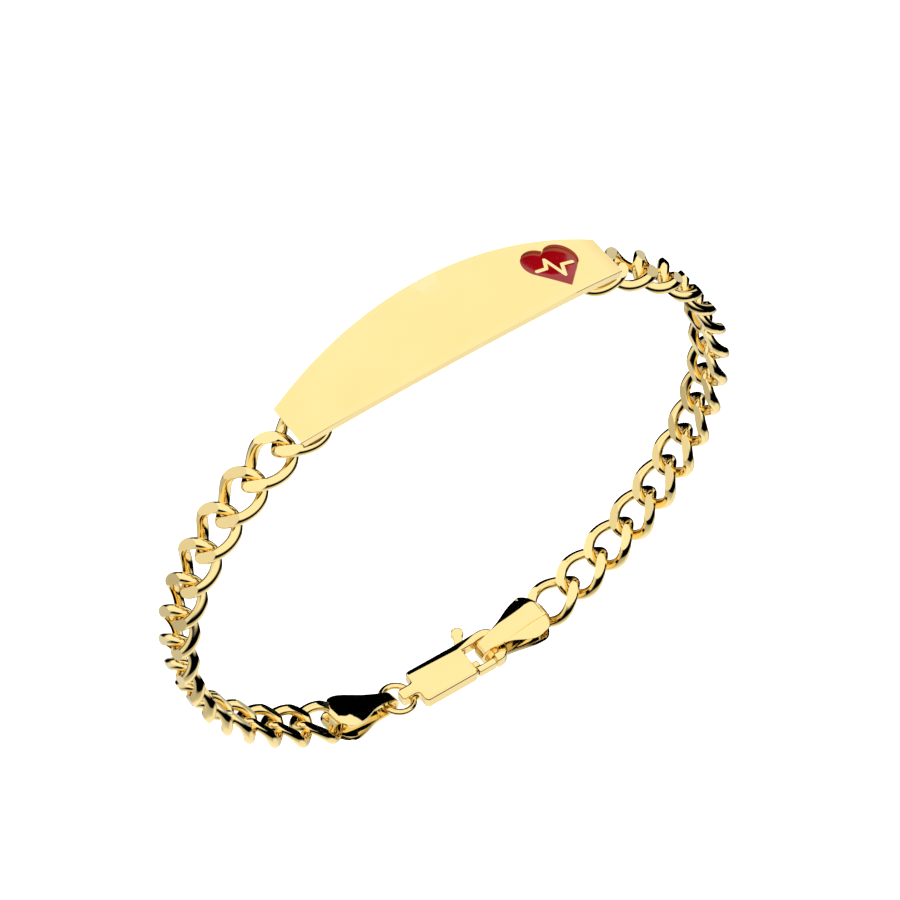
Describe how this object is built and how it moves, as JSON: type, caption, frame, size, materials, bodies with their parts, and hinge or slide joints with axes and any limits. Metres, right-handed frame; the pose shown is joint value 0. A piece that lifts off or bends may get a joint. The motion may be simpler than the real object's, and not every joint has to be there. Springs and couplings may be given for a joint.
{
  "type": "medical alert bracelet",
  "caption": "Closed curb chain bracelet with a bowed identity plate, an enamelled heart emblem, folded end caps and a lobster clasp whose sprung gate opens.",
  "frame": {"origin": "middle of the wrist hollow, midway along the wrist", "axes": "+Z out through the middle of the identity plate, +X along the plate, +Y along the wrist, away from the side on which the emblem's point lies"},
  "size_m": [0.0608, 0.0088, 0.057],
  "materials": {
    "plate_gold": "mirror polished yellow gold, flat face",
    "chain_gold": "polished yellow gold with diamond cut faces",
    "clasp_gold": "polished yellow gold, stamped and folded",
    "enamel": "glossy dark red enamel"
  },
  "bodies": {
    "bracelet": {"id_plate": "plate_gold", "enamel_heart": "enamel", "left_cap": "clasp_gold", "right_cap": "clasp_gold", "jump_ring": "clasp_gold", "clasp_body": "clasp_gold", "left_link_1": "chain_gold", "left_link_2": "chain_gold", "left_link_3": "chain_gold", "left_link_4": "chain_gold", "left_link_5": "chain_gold", "left_link_6": "chain_gold", "left_link_7": "chain_gold", "left_link_8": "chain_gold", "left_link_9": "chain_gold", "left_link_10": "chain_gold", "left_link_11": "chain_gold", "left_link_12": "chain_gold", "left_link_13": "chain_gold", "left_link_14": "chain_gold", "left_link_15": "chain_gold", "right_link_1": "chain_gold", "right_link_2": "chain_gold", "right_link_3": "chain_gold", "right_link_4": "chain_gold", "right_link_5": "chain_gold", "right_link_6": "chain_gold", "right_link_7": "chain_gold", "right_link_8": "chain_gold", "right_link_9": "chain_gold", "right_link_10": "chain_gold", "right_link_11": "chain_gold", "right_link_12": "chain_gold", "right_link_13": "chain_gold", "right_link_14": "chain_gold", "right_link_15": "chain_gold", "right_link_16": "chain_gold"},
    "gate": {"clasp_gate": "clasp_gold"}
  },
  "joints": [
    {"name": "gate_pivot", "type": "hinge", "parent": "bracelet", "child": "gate", "pos_m": [0.00039, -0.00115, -0.02694], "axis": [0.0094, 0, 1], "range_deg": [0, 10], "stiffness_Nm_per_rad": 0.005, "springref_deg": -5.73}
  ]
}
